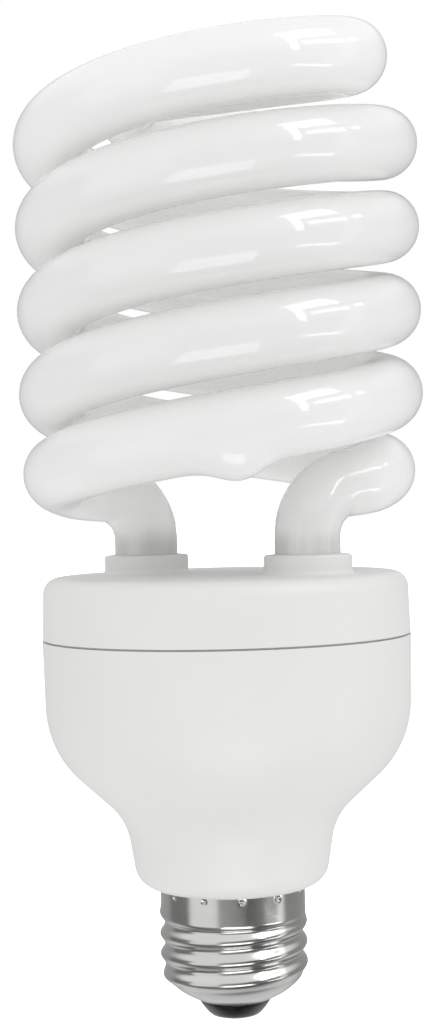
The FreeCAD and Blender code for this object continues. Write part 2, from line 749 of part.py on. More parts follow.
# Circuit board: a round board on the ribs, held down by the cover's spigot, with four wrap pins.
board_disc = rod("board_disc", f"{RIM_IN} - board_gap", "board_thickness")
bind(board_disc, {"Placement.Base.z": BOARD_LOW})
pin_holes = []
pin_number = 0
for leg_side in LEG_SIDES:
    for pin_side in LEG_SIDES:
        pin_number += 1
        lead_x = f"({leg_side} * {LEG_X} + {pin_side} * lead_spread)"
        pin_x = f"({lead_x} + {pin_side} * (lead_radius + pin_width / 2 + fit_gap))"
        spot_y = f"({-leg_side} * {LEG_Y})"
        hole_size = ("pin_width + fit_gap", "pin_width + fit_gap", "board_thickness * 2")
        hole_spot = (pin_x, spot_y, f"{BOARD_LOW} - board_thickness / 2")
        pin_holes.append(block(f"pin_hole_{pin_number}", *hole_size, *hole_spot))
        pin_size = ("pin_width", "pin_width", "board_thickness + pin_rise")
        nodes.append(block(f"wrap_pin_{pin_number}", *pin_size, pin_x, spot_y, BOARD_LOW))
        lead = rod(f"filament_lead_{pin_number}", "lead_radius", f"{PINCH_END} - {BOARD_TOP}")
        place(lead, lead_x, spot_y, BOARD_TOP)
        nodes.append(lead)
nodes.append(cut("circuit_board", board_disc, pin_holes))

# Bulk capacitor: a sleeved can that hangs from the board into the neck, with a crimp near its seal.
bulk = turned_body("bulk_capacitor", [
    ("0", "0"),
    ("bulk_radius - bulk_edge_round", "0", 1, "bulk_edge_round"),
    ("bulk_radius", "bulk_edge_round"),
    ("bulk_radius", "bulk_length - bulk_groove_drop - bulk_groove_half"),
    ("bulk_radius - bulk_groove_depth", "bulk_length - bulk_groove_drop"),
    ("bulk_radius", "bulk_length - bulk_groove_drop + bulk_groove_half"),
    ("bulk_radius", "bulk_length"),
    ("0", "bulk_length"),
])
bind(bulk, {"Placement.Base.z": f"{BOARD_LOW} - bulk_length"})
nodes.append(bulk)

# Ballast choke: a ferrite frame with a centre leg, and the winding that sits around that leg.
CHOKE_X = "(-choke_centre)"
WINDOW_WIDTH = "((core_width - core_centre_leg) / 2 - core_outer_leg)"
WINDOW_HEIGHT = "(core_height - 2 * core_yoke)"
CORE_LOW = f"({BOARD_LOW} - core_height)"
core_size = ("core_thickness", "core_width", "core_height")
core_block = block("core_block", *core_size, CHOKE_X, "0", CORE_LOW)
windows = []
for index, side in enumerate(LEG_SIDES, start=1):
    window_size = ("core_thickness * 2", WINDOW_WIDTH, WINDOW_HEIGHT)
    window_spot = (CHOKE_X, f"{side} * (core_centre_leg + {WINDOW_WIDTH}) / 2", f"{CORE_LOW} + core_yoke")
    windows.append(block(f"core_window_{index}", *window_size, *window_spot))
nodes.append(cut("choke_core", core_block, windows))
winding_width = f"core_centre_leg + 2 * {WINDOW_WIDTH} - 2 * fit_gap"
winding_size = ("winding_depth", winding_width, f"{WINDOW_HEIGHT} - 2 * fit_gap")
winding_spot = (CHOKE_X, "0", f"{CORE_LOW} + core_yoke + fit_gap")
winding_block = block("winding_block", *winding_size, *winding_spot)
hole_size = ("core_thickness + 2 * fit_gap", "core_centre_leg + 2 * fit_gap", "core_height")
winding_hole = block("winding_hole", *hole_size, CHOKE_X, "0", CORE_LOW)
nodes.append(cut("choke_winding", winding_block, [winding_hole]))

# Wound pieces that hang from the board: a drum choke and the ring that drives the transistors.
drum = turned_body("filter_choke", [
    ("0", "0"),
    ("drum_radius", "0"),
    ("drum_radius", "drum_flange"),
    ("drum_waist_radius", "drum_flange"),
    ("drum_waist_radius", "drum_length - drum_flange"),
    ("drum_radius", "drum_length - drum_flange"),
    ("drum_radius", "drum_length"),
    ("0", "drum_length"),
])
place(drum, "drum_across", "drum_along", f"{BOARD_LOW} - drum_length")
nodes.append(drum)
ring = turned_body("drive_toroid", [
    ("toroid_bore_radius", "0"),
    ("toroid_radius - toroid_edge_round", "0", 1, "toroid_edge_round"),
    ("toroid_radius", "toroid_edge_round"),
    ("toroid_radius", "toroid_length"),
    ("toroid_bore_radius", "toroid_length"),
])
place(ring, "toroid_across", "-toroid_along", f"{BOARD_LOW} - toroid_length")
nodes.append(ring)


def film_capacitor(name, width, depth, height, across):
    """A boxed film capacitor that hangs from the board, with rounded free edges."""
    case = block(name + "_case", width, depth, height, across, "film_along", f"{BOARD_LOW} - {height}")
    doc.recompute()
    level = size(BOARD_LOW)
    rounded = doc.addObject("Part::Fillet", name)
    rounded.Label = name
    rounded.Base = case
    radius = size("film_edge_round")
    rounded.Edges = [
        (index, radius, radius)
        for index, edge in enumerate(case.Shape.Edges, start=1)
        if edge.BoundBox.ZMin < level - radius
    ]
    nodes.append(rounded)


resonance_size = ("resonance_width", "resonance_depth", "resonance_height")
film_capacitor("resonance_capacitor", *resonance_size, "resonance_across")
coupling_size = ("coupling_width", "coupling_depth", "coupling_height")
film_capacitor("coupling_capacitor", *coupling_size, "coupling_across")

# Two switching transistors in moulded cases with a mounting hole, upright below the board.
case_size = ("case_width", "case_depth", "case_height")
CASE_LOW = f"({BOARD_LOW} - case_height)"
for index, along in enumerate(("-case_near_along", "-case_far_along"), start=1):
    case = block(f"transistor_case_{index}", *case_size, "case_across", along, CASE_LOW)
    tab_hole = rod(f"tab_hole_{index}", "tab_hole_radius", "case_depth * 2")
    tab_hole.Placement.Rotation = FreeCAD.Rotation(Vector(1, 0, 0), 90)
    place(tab_hole, "case_across", f"{along} + case_depth", f"{CASE_LOW} + tab_hole_rise")
    nodes.append(cut(f"switch_transistor_{index}", case, [tab_hole]))


def axial_piece(name, radius, length, across, along):
    """A small round component that lies along X under the board, with its two bent leads."""
    drop = f"({BOARD_LOW} - {radius} - fit_gap)"
    reach = f"({length} / 2 + axial_lead_reach)"
    shapes = []
    lying_pieces = (("barrel", radius, f"{length} / 2"), ("lead", "axial_lead_radius", reach))
    for part_name, part_radius, half_run in lying_pieces:
        lying = rod(f"{name}_{part_name}", part_radius, f"2 * {half_run}")
        lying.Placement.Rotation = FreeCAD.Rotation(Vector(0, 1, 0), 90)
        place(lying, f"{across} - {half_run}", along, drop)
        shapes.append(lying)
    for side_name, side in (("right", 1), ("left", -1)):
        post = rod(f"{name}_post_{side_name}", "axial_post_radius", f"{radius} + fit_gap")
        place(post, f"{across} + {side} * ({reach} - axial_lead_radius)", along, drop)
        shapes.append(post)
    nodes.append(fuse(name, shapes))


diode_number = 0
for along in ("diode_near_along", "diode_far_along"):
    for across in ("-diode_left_across", "-diode_right_across"):
        diode_number += 1
        axial_piece(f"rectifier_diode_{diode_number}", "diode_radius", "diode_length", across, along)
resistor_size = ("resistor_radius", "resistor_length")
for index in range(SIZES["resistor_count"]):
    along = f"-resistor_near_along - {index} * resistor_spacing"
    axial_piece(f"start_resistor_{index + 1}", *resistor_size, "-resistor_across", along)
axial_piece("trigger_diac", "diac_radius", "diac_length", "-diac_across", "-diac_along")

# Fusible resistor in the live wire, in a sleeve on the axis inside the stub.
fuse_sleeve = rod("fusible_resistor", "fuse_radius", "fuse_length")
bind(fuse_sleeve, {"Placement.Base.z": "fuse_low_height"})
nodes.append(fuse_sleeve)


def wire(name, points):
    """A round insulated wire along straight runs that are joined by tangent arcs."""
    corners = [Vector(*(size(text) for text in point)) for point in points]
    radius = size("wire_bend_round")
    edges = []
    at = corners[0]
    for before, corner, after in zip(corners, corners[1:], corners[2:]):
        back = (before - corner).normalize()
        onward = (after - corner).normalize()
        half_turn = (math.pi - back.getAngle(onward)) / 2
        trim = radius * math.tan(half_turn)
        enter = corner + back * trim
        leave = corner + onward * trim
        middle = (back + onward).normalize()
        crown = corner + middle * (radius / math.cos(half_turn) - radius)
        edges.append(Part.makeLine(at, enter))
        edges.append(Part.Arc(enter, crown, leave).toShape())
        at = leave
    edges.append(Part.makeLine(at, corners[-1]))
    path = Part.Wire(edges)
    first_run = corners[1] - corners[0]
    section = Part.Wire([Part.Circle(corners[0], first_run, size("wire_radius")).toShape()])
    solid = doc.addObject("Part::Feature", name)
    solid.Shape = path.makePipeShell([section], True, True)
    nodes.append(solid)


FUSE_TOP = "fuse_low_height + fuse_length"
wire("line_wire_lower", [("0", "0", SHANK_TOP), ("0", "0", "fuse_low_height")])
wire("line_wire_upper", [
    ("0", "0", FUSE_TOP),
    ("0", "0", "cross_run_height"),
    ("wire_circle", "0", "cross_run_height"),
    ("wire_circle", "0", BOARD_LOW),
])
wire("neutral_wire", [
    ("0", "-wire_circle", BOARD_LOW),
    ("0", "-wire_circle", "neutral_end_height"),
    ("0", "-neutral_end_circle", "neutral_end_height"),
])

doc.recompute()
for thing in doc.Objects:
    if "Invalid" in thing.State or "Error" in thing.State:
        raise RuntimeError(f"{thing.Name} failed: {thing.State}")
for node in nodes:
    if node.Shape.isNull() or not node.Shape.isValid():
        raise RuntimeError(f"{node.Label} has no valid shape")
for node in nodes:
    node.Shape.exportStep(f"parts/{node.Label}.step")
    print(node.Label, len(node.Shape.Solids), round(node.Shape.Volume, 2))
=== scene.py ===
import math
import bpy
import numpy as np
from mathutils import Matrix, Vector


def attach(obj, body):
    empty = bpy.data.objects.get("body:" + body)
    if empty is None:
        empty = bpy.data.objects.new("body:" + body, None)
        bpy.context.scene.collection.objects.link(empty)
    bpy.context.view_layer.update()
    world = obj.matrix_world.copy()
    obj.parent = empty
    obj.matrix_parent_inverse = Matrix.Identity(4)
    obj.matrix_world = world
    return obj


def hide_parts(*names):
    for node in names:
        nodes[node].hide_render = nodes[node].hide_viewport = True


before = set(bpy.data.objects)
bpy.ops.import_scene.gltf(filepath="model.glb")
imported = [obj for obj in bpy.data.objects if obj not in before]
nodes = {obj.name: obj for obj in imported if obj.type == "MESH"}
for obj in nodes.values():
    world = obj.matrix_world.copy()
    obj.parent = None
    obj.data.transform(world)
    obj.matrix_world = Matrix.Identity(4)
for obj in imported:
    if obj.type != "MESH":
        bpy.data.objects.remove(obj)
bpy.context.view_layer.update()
mm = 0.001

# Centre contact: a disc pressed from brass, tinned, and riveted through the middle of the insulator.
# Tin over brass is a dull, slightly warm white metal with a soft gloss and small dark marks
# from handling.
MIX_FROM, MIX_TO, MIXED = 6, 7, 2  # the colour sockets of a mix node


def linear(code):
    """Turns an sRGB hex value into a linear colour."""
    channels = [int(code[at:at + 2], 16) / 255 for at in (0, 2, 4)]
    return [c / 12.92 if c <= 0.04045 else ((c + 0.055) / 1.055) ** 2.4 for c in channels] + [1.0]


def add_node(tree, kind, settings=None, links=None):
    """Adds a node, sets its properties and sockets, and links its inputs."""
    added = tree.nodes.new(kind)
    for key, value in (settings or {}).items():
        if isinstance(key, int) or key in added.inputs:
            added.inputs[key].default_value = value
        else:
            setattr(added, key, value)
    for key, source in (links or {}).items():
        tree.links.new(source, added.inputs[key])
    return added


def finish(name, dark, light, patch, gloss, grain, relief, metal=0.0, stretch=(1, 1, 1)):
    """A surface that drifts between two colours over patches, with a grain in its gloss and relief.
    Patch, grain and relief are in millimetres, and gloss is the range of its roughness."""
    material = bpy.data.materials.new(name)
    material.use_nodes = True
    tree = material.node_tree
    shader = tree.nodes["Principled BSDF"]
    shader.inputs["Metallic"].default_value = metal
    spot = add_node(tree, "ShaderNodeTexCoord").outputs["Object"]
    stretched = add_node(tree, "ShaderNodeMapping", {"Scale": stretch}, {"Vector": spot})
    along = {"Vector": stretched.outputs[0]}
    patch_size = {"Scale": 1 / (patch * mm), "Detail": 3.0}
    patches = add_node(tree, "ShaderNodeTexNoise", patch_size, along).outputs[0]
    colours = {"data_type": "RGBA", MIX_FROM: linear(dark), MIX_TO: linear(light)}
    tint = add_node(tree, "ShaderNodeMix", colours, {"Factor": patches})
    grain_size = {"Scale": 1 / (grain * mm), "Detail": 2.0}
    grains = add_node(tree, "ShaderNodeTexNoise", grain_size, along).outputs[0]
    rough_range = {"To Min": gloss[0], "To Max": gloss[1]}
    rough = add_node(tree, "ShaderNodeMapRange", rough_range, {"Value": grains})
    depth = {"Strength": 1.0, "Distance": relief * mm}
    bump = add_node(tree, "ShaderNodeBump", depth, {"Height": grains})
    tree.links.new(tint.outputs[MIXED], shader.inputs["Base Color"])
    tree.links.new(rough.outputs[0], shader.inputs["Roughness"])
    tree.links.new(bump.outputs[0], shader.inputs["Normal"])
    return material


def dress(node_name, material):
    """Gives a node of the frame its material."""
    mesh = nodes[node_name].data
    mesh.materials.clear()
    mesh.materials.append(material)


tinned_brass = finish(
    "tinned_brass", "6F6B63", "97938A",
    patch=2.5, gloss=(0.28, 0.5), grain=0.5, relief=0.01, metal=1.0,
)
dress("centre_contact", tinned_brass)

# Insulator: black glass poured round the contact while the shell held it, so its foot is a smooth
# blunt dome. Poured glass is dark green black, with a high gloss and slow swells from its cooling.
# Its outline gives radius and height, from the contact's hole round the foot to the plug's top.
INSULATOR_SIDES = 96
INSULATOR_CREASE = math.radians(40)


def round_ring(height, radii, angles):
    """A level ring of points round the axis, from radii in millimetres, one for each angle."""
    return [(r * mm * math.cos(a), r * mm * math.sin(a), height * mm) for r, a in zip(radii, angles)]


def turned_mesh(name, rings):
    """A closed skin of equal rings of points, each joined to the next, and the last to the first."""
    count = len(rings[0])
    points = [point for ring in rings for point in ring]
    faces = []
    for at in range(len(rings)):
        here, there = at * count, (at + 1) % len(rings) * count
        for step in range(count):
            turn = (step + 1) % count
            faces.append((here + step, here + turn, there + turn, there + step))
    mesh = bpy.data.meshes.new(name)
    mesh.from_pydata(points, [], faces)
    mesh.shade_smooth()
    return mesh


def add_piece(name, mesh, material, slot, *replaced):
    """Adds a mesh to the lamp in place of nodes of the frame."""
    piece = bpy.data.objects.new(name, mesh)
    mesh.materials.append(material)
    bpy.context.scene.collection.objects.link(piece)
    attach(piece, "root")
    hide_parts(*replaced)


poured_glass = finish(
    "poured_black_glass", "0B0F0E", "161C1A",
    patch=3.0, gloss=(0.05, 0.14), grain=1.5, relief=0.02,
)
insulator_outline = [
    (1.2, 6.6), (1.2, 0.95), (3.4, 0.95), (3.4, 0.38), (3.9, 0.36),
    (4.4, 0.5), (4.9, 0.92), (5.4, 1.5), (5.9, 2.15), (6.35, 2.82),
    (6.65, 3.4), (6.7, 3.95), (9.3, 5.3), (10.6, 6.5), (10.5, 6.6),
]
insulator_around = np.linspace(0, 2 * math.pi, INSULATOR_SIDES, endpoint=False)
insulator_mesh = turned_mesh("insulator", [
    round_ring(height, [radius] * INSULATOR_SIDES, insulator_around)
    for radius, height in insulator_outline
])
insulator_mesh.set_sharp_from_angle(angle=INSULATOR_CREASE)
add_piece("insulator", insulator_mesh, poured_glass, "black_glass", "cap_insulator")

# Screw shell: thin brass sheet, drawn to a cup, with a round thread rolled into it, and nickel plated.
# Its top band is staked to the housing's stub by small punch marks. Bright nickel is a cool mirror,
# drawn out a little along the rolling direction.
SHELL_LOW = 3.4
SHELL_TOP = 23.7
SHELL_LEVELS = 150
SHELL_SIDES = 360
SHELL_CREASE = math.radians(50)
BAND_RADIUS = 12.95
THREAD_PITCH = 3.629
THREAD_TURNS = 3.0
THREAD_START = 7.85
THREAD_DEPTH = 0.85
RUN_IN_LEAD, RUN_IN_LENGTH = 0.12, 0.24  # in turns, where the thread rises from the sheet
RUN_OUT_LEAD, RUN_OUT_LENGTH = 0.06, 0.2  # in turns, where it sinks back below the plain band
STAKE_COUNT = 12
STAKE_FIRST_ANGLE = 7.0
STAKE_HEIGHT = 22.85
STAKE_HALF_WIDTH = 0.42
STAKE_HALF_HEIGHT = 0.45
STAKE_DEPTH = 0.4
STAKE_ZONE_LOW = 21.0
CORNER_EASE = 7  # levels over which the drawn corners of the sheet are rounded
shell_outline = [
    (6.8, SHELL_LOW), (9.35, 4.75), (10.7, 5.75), (11.75, 6.75),
    (12.35, 7.7), (12.35, 17.6), (BAND_RADIUS, 18.3), (BAND_RADIUS, SHELL_TOP),
]
shell_inside = (
    (12.55, SHELL_TOP), (12.5, 19.3), (11.9, 18.6), (11.9, 8.0),
    (11.3, 7.0), (9.3, 5.2), (6.8, 3.92),
)
shell_heights = np.linspace(SHELL_LOW, SHELL_TOP, SHELL_LEVELS)
outline_heights = [height for _, height in shell_outline]
outline_radii = [radius for radius, _ in shell_outline]
plain_radius = np.interp(shell_heights, outline_heights, outline_radii)
ease_window = np.ones(CORNER_EASE) / CORNER_EASE
ease_end = CORNER_EASE // 2
plain_radius[ease_end:-ease_end] = np.convolve(plain_radius, ease_window, mode="valid")
stake_angles = np.radians(np.arange(STAKE_COUNT) * 360 / STAKE_COUNT + STAKE_FIRST_ANGLE)
shell_around = np.linspace(0, 2 * math.pi, SHELL_SIDES, endpoint=False)


def rolled_radius(angle, height, radius):
    """The shell's outer radius with the thread's crests and the punch marks, in millimetres."""
    first_turn = ((angle - math.pi) % (2 * math.pi)) / (2 * math.pi)
    for whole_turns in range(-1, 4):
        turn = first_turn + whole_turns
        away = abs(height - THREAD_START - THREAD_PITCH * turn) / THREAD_PITCH
        if away < 0.5:
            run_in = min(max((turn + RUN_IN_LEAD) / RUN_IN_LENGTH, 0), 1)
            run_out = min(max((THREAD_TURNS + RUN_OUT_LEAD - turn) / RUN_OUT_LENGTH, 0), 1)
            radius += THREAD_DEPTH * (run_in * run_out) * math.cos(math.pi * away) ** 2
    if height > STAKE_ZONE_LOW:
        for stake in stake_angles:
            across = BAND_RADIUS * ((angle - stake + math.pi) % (2 * math.pi) - math.pi)
            up = height - STAKE_HEIGHT
            reach = (across / STAKE_HALF_WIDTH) ** 2 + (up / STAKE_HALF_HEIGHT) ** 2
            radius -= STAKE_DEPTH * math.exp(-reach)
    return radius


shell_rings = []
for height, radius in zip(shell_heights, plain_radius):
    outer = [rolled_radius(angle, height, radius) for angle in shell_around]
    shell_rings.append(round_ring(height, outer, shell_around))
for radius, height in shell_inside:
    shell_rings.append(round_ring(height, [radius] * SHELL_SIDES, shell_around))
nickel_plate = finish(
    "bright_nickel_plate", "C2C3C1", "DCDDDA",
    patch=5.0, gloss=(0.13, 0.22), grain=1.4, relief=0.008, metal=1.0, stretch=(0.35, 0.35, 1.0),
)
shell_mesh = turned_mesh("screw_shell_plate", shell_rings)
shell_mesh.set_sharp_from_angle(angle=SHELL_CREASE)
add_piece("screw_shell_plate", shell_mesh, nickel_plate, "nickel_plate", "screw_shell")

# Wires from the cap: stranded copper in a white sheath, and the fusible resistor in a blue shrink
# sleeve. Extruded sheath is a soft satin, and the sleeve takes a gloss from its shrinking.
wire_sheath = finish(
    "extruded_sheath", "C9C8C4", "DAD9D5",
    patch=4.0, gloss=(0.4, 0.55), grain=0.6, relief=0.02,
)
for name in ("line_wire_lower", "line_wire_upper", "neutral_wire"):
    dress(name, wire_sheath)
shrink_sleeve = finish(
    "shrink_sleeve", "2A3A5C", "34476E",
    patch=3.0, gloss=(0.25, 0.4), grain=0.8, relief=0.03,
)
dress("fusible_resistor", shrink_sleeve)

# Ballast housing and its cover: two shells moulded from white PBT, snapped together at the seam.
# The tool was spark eroded, which leaves a fine even tooth that takes the shine off the plastic.
# The tooth is about 0.1 mm in life, and is drawn at 0.45 mm so that it shows.
white_pbt = finish(
    "moulded_white_pbt", "E7E7E5", "ECECEA",
    patch=14.0, gloss=(0.42, 0.58), grain=0.45, relief=0.012,
)
dress("ballast_housing", white_pbt)
dress("top_cover", white_pbt)

# Circuit board: punched from phenolic paper laminate, with four pins that the filament leads are
# wrapped on. Laminate is a mottled tan with a dull resin gloss, and the tinned pins are a soft
# white metal.
paper_laminate = finish(
    "phenolic_paper_laminate", "A67F45", "BF9A5E",
    patch=6.0, gloss=(0.4, 0.6), grain=0.7, relief=0.02,
)
dress("circuit_board", paper_laminate)
tinned_wire = finish(
    "tinned_wire", "A9A9A8", "C6C6C4",
    patch=1.5, gloss=(0.25, 0.4), grain=0.4, relief=0.01, metal=1.0,
)
for number in range(1, 5):
    dress(f"wrap_pin_{number}", tinned_wire)
    dress(f"filament_lead_{number}", tinned_wire)

# Wound pieces: sintered ferrite cores, ground flat where they meet, and a choke wound with enamelled
# copper. Ferrite is a dull charcoal with a stony grain. The enamel makes the copper glossy and reddish.
ferrite = finish(
    "sintered_ferrite", "26272A", "3A3B3E",
    patch=1.2, gloss=(0.5, 0.75), grain=0.4, relief=0.03,
)
for name in ("choke_core", "filter_choke", "drive_toroid"):
    dress(name, ferrite)
enamelled_copper = finish(
    "enamelled_copper", "8E4A24", "C27A45",
    patch=0.5, gloss=(0.2, 0.35), grain=0.35, relief=0.08, metal=1.0, stretch=(0.05, 0.05, 1.0),
)
dress("choke_winding", enamelled_copper)

# Capacitors: an aluminium can in a dark shrink sleeve, and two film windings dipped in red brown
# lacquer. Sleeve and lacquer are both glossy, and the lacquer has the slow swells of a dip.
can_sleeve = finish(
    "dark_can_sleeve", "1B1D22", "272A31",
    patch=8.0, gloss=(0.22, 0.35), grain=2.0, relief=0.03,
)
dress("bulk_capacitor", can_sleeve)
dipped_lacquer = finish(
    "dipped_lacquer", "7E2C1A", "98402A",
    patch=3.0, gloss=(0.12, 0.25), grain=2.5, relief=0.08,
)
dress("resonance_capacitor", dipped_lacquer)
dress("coupling_capacitor", dipped_lacquer)

# Small parts under the board: transistors, diodes and the diac are moulded in black epoxy, and the
# resistors are lacquered tan. Filled epoxy is a flat dark grey with a fine tooth.
black_epoxy = finish(
    "moulded_black_epoxy", "17181A", "232426",
    patch=2.0, gloss=(0.5, 0.7), grain=0.4, relief=0.015,
)
for name in ("switch_transistor_1", "switch_transistor_2", "trigger_diac"):
    dress(name, black_epoxy)
for number in range(1, 5):
    dress(f"rectifier_diode_{number}", black_epoxy)
tan_lacquer = finish(
    "resistor_lacquer", "B49468", "CBAF85",
    patch=2.0, gloss=(0.35, 0.5), grain=0.6, relief=0.03,
)
for number in range(1, 4):
    dress(f"start_resistor_{number}", tan_lacquer)

# Cement: white silicone worked into each collar round the glass leg and wiped off by hand.
# Cured silicone has a dull, slightly lumpy skin.
silicone_cement = finish(
    "silicone_cement", "D9D9D6", "E6E6E3",
    patch=3.0, gloss=(0.5, 0.7), grain=1.8, relief=0.12,
)
dress("leg_cement_1", silicone_cement)
dress("leg_cement_2", silicone_cement)

# Glass spiral: one tube of soda glass, bent hot round a grooved mandrel into a double helix that turns
# over at the top, then cut to length, coated inside with white phosphor powder and sealed at both legs.
# The clear outer skin keeps a wet gloss over the flat white powder, which thins out low in the legs.
COIL_RADIUS = 29.6
COIL_SPACING = 14.7
COIL_LOW = 96.5
COIL_STEP = 2.0  # degrees between two rings of the coil
FRONT_END = 852.0
BACK_END = 828.0
BRIDGE_ROUND = 11.0
TUBE_RADIUS = 6.34
LEG_RADIUS = 5.75
LEG_CIRCLE = 17.2
LEG_ANGLE = 33.0
LEG_END = 75.0
BEND_ROUND_COIL = 12.0
BEND_ROUND_LEG = 9.5
BEND_DIP = math.radians(7)
BEND_MOST = math.radians(140)
TAPER_LENGTH = 2.0
climb = math.atan2(COIL_SPACING, math.pi * COIL_RADIUS)
down = Vector((0, 0, -1))


def coil_outward(turn):
    """The level direction out from the axis at an angle of the coil, in degrees."""
    return Vector((math.cos(math.radians(turn)), math.sin(math.radians(turn)), 0))


def coil_point(turn):
    """The middle of the tube at an angle of the coil."""
    return coil_outward(turn) * COIL_RADIUS + Vector((0, 0, COIL_LOW + COIL_SPACING * turn / 180))


def coil_direction(turn):
    """The direction in which the coil climbs at an angle."""
    return coil_outward(turn + 90) * math.cos(climb) + Vector((0, 0, math.sin(climb)))


def half_turned(point):
    """The same place on the other strand of the double helix."""
    return Vector((-point.x, -point.y, point.z))


def bend(start, along, onward_square, bend_round, turn):
    """Points about a millimetre apart along a bend, and the direction in which it ends."""
    centre = start + onward_square * bend_round
    axis = along.cross(onward_square)
    steps = max(2, round(bend_round * turn))
    turns = [Matrix.Rotation(turn * step / steps, 3, axis) for step in range(1, steps + 1)]
    return [centre + rotation @ (start - centre) for rotation in turns], turns[-1] @ along


def bend_to(start, along, onward, bend_round):
    """Points along a bend from one direction to another."""
    onward_square = (onward - along * along.dot(onward)).normalized()
    return bend(start, along, onward_square, bend_round, along.angle(onward))[0]


def run(start, along, length):
    """Points about a millimetre apart along a straight stretch."""
    steps = max(1, round(length))
    return [start + along * (length * step / steps) for step in range(1, steps + 1)]


def leg_line(start_turn, bend_turn):
    """From the coil's start the tube bends inward and dips, narrows, and bends down into its leg."""
    leaving, inward = -coil_direction(start_turn), -coil_outward(start_turn)
    dipped = inward * math.cos(BEND_DIP) + leaving.cross(inward) * math.sin(BEND_DIP)
    curl, along = bend(coil_point(start_turn), leaving, dipped, BEND_ROUND_COIL, bend_turn)
    taper = run(curl[-1], along, TAPER_LENGTH)
    return curl, taper + bend_to(taper[-1], along, down, BEND_ROUND_LEG)


def coil_line(end_turn):
    """The middle of the tube up one strand of the coil."""
    turns = np.append(np.arange(coil_start, end_turn, COIL_STEP), end_turn)
    return [coil_point(turn) for turn in turns]


# The bend turns until the leg comes down on its circle, found by halving the range.
least, most = 0.0, BEND_MOST
for _ in range(50):
    bend_turn = (least + most) / 2
    leg_top = leg_line(0, bend_turn)[1][-1]
    if math.hypot(leg_top.x, leg_top.y) > LEG_CIRCLE:
        least = bend_turn
    else:
        most = bend_turn
coil_start = -math.degrees(math.atan2(leg_top.y, leg_top.x)) - LEG_ANGLE
curl, knee = leg_line(coil_start, bend_turn)
leg = run(knee[-1], down, knee[-1].z - LEG_END)
leg_widths = [TUBE_RADIUS] * len(curl) + [LEG_RADIUS] * (len(knee) + len(leg))

# The pinched seal below each leg: heights, and how wide the glass still is there.
leg_seal = ((74.3, 5.5), (73.4, 4.7), (72.3, 3.6), (71.2, 2.7), (70.6, 2.2), (70.6, 0.2))
for height, width in leg_seal:
    leg.append(Vector((leg[-1].x, leg[-1].y, height)))
    leg_widths.append(width)
leg_up = (curl + knee + leg)[::-1]
front_coil = coil_line(FRONT_END)
back_coil = coil_line(BACK_END)

# Above the coil each end bends in once, and a straight tube over the lamp's axis joins the two bends.
# The straight tube's direction decides where both bends end, so it is closed in on step by step.
front_end, front_along = half_turned(front_coil[-1]), half_turned(coil_direction(FRONT_END))
back_end, back_along = back_coil[-1], coil_direction(BACK_END)
onward = (back_end - front_end).normalized()
for _ in range(200):
    front_reach = BRIDGE_ROUND * math.tan(front_along.angle(onward) / 2)
    back_reach = BRIDGE_ROUND * math.tan(back_along.angle(-onward) / 2)
    front_leave = front_end + (front_along + onward) * front_reach
    back_leave = back_end + (back_along - onward) * back_reach
    onward = (onward + (back_leave - front_leave).normalized()).normalized()
bridge = bend_to(back_end, back_along, -onward, BRIDGE_ROUND)
bridge += run(back_leave, -onward, (front_leave - back_leave).length)[:-1]
bridge += bend_to(front_end, front_along, onward, BRIDGE_ROUND)[::-1]
front_line = [half_turned(point) for point in leg_up + front_coil]
tube_line = leg_up + back_coil + bridge + front_line[::-1]

# The step from the coil's width to the leg's is eased along the tube, and the seals stay as they are.
WIDTH_EASE = 9
SEAL_RINGS = 12
coil_widths = [TUBE_RADIUS] * (len(tube_line) - 2 * len(leg_widths))
tube_width = np.array(leg_widths[::-1] + coil_widths + leg_widths)
padded_width = np.pad(tube_width, WIDTH_EASE // 2, mode="edge")
eased = np.convolve(padded_width, np.ones(WIDTH_EASE) / WIDTH_EASE, mode="valid")
tube_width[SEAL_RINGS:-SEAL_RINGS] = eased[SEAL_RINGS:-SEAL_RINGS]

# One ring of glass stands round each point of the line. The bulge is a soft bump, blown out of the
# lowest front turn.
TUBE_SIDES = 48
BULGE_TURN = 93.0
BULGE_TILT = math.radians(68)
BULGE_PROUD = 2.8
BULGE_LENGTH = 4.8
bulge_lean = -coil_outward(BULGE_TURN) * math.cos(BULGE_TILT) + down * math.sin(BULGE_TILT)
bulge_base = half_turned(coil_point(BULGE_TURN))
tube_around = np.linspace(0, 2 * math.pi, TUBE_SIDES, endpoint=False)
square = Vector((1, 0, 0))
tube_rings = []
for at, (centre, width) in enumerate(zip(tube_line, tube_width)):
    ahead = tube_line[min(at + 1, len(tube_line) - 1)] - tube_line[max(at - 1, 0)]
    ahead.normalize()
    square = (square - ahead * ahead.dot(square)).normalized()
    other = ahead.cross(square)
    bulge_here = BULGE_PROUD * math.exp(-((centre - bulge_base).length / BULGE_LENGTH) ** 2)
    ring = []
    for turn in tube_around:
        out = square * math.cos(turn) + other * math.sin(turn)
        proud = bulge_here * max(out.dot(bulge_lean), 0) ** 3
        ring.append((centre + out * (width + proud)) * mm)
    tube_rings.append(ring)
tube_mesh = turned_mesh("glass_tube", tube_rings)

# The coat is the clear glass over the powder. Light that falls on the tube spreads through its hollow
# inside, so the shaded sides of the coil stay light.
GLOW_REACH = 40.0
coated_glass = finish(
    "phosphor_coated_glass", "FAFAF8", "FDFDFB",
    patch=11.0, gloss=(0.5, 0.6), grain=6.0, relief=0.01,
)
tree = coated_glass.node_tree
shader = tree.nodes["Principled BSDF"]
shader.inputs["Coat Weight"].default_value = 1.0
shader.inputs["Coat Roughness"].default_value = 0.02
shader.inputs["Coat IOR"].default_value = 1.5
shader.inputs["Specular IOR Level"].default_value = 0.2
shader.inputs["Subsurface Radius"].default_value = (1, 1, 1)
shader.inputs["Subsurface Scale"].default_value = GLOW_REACH * mm

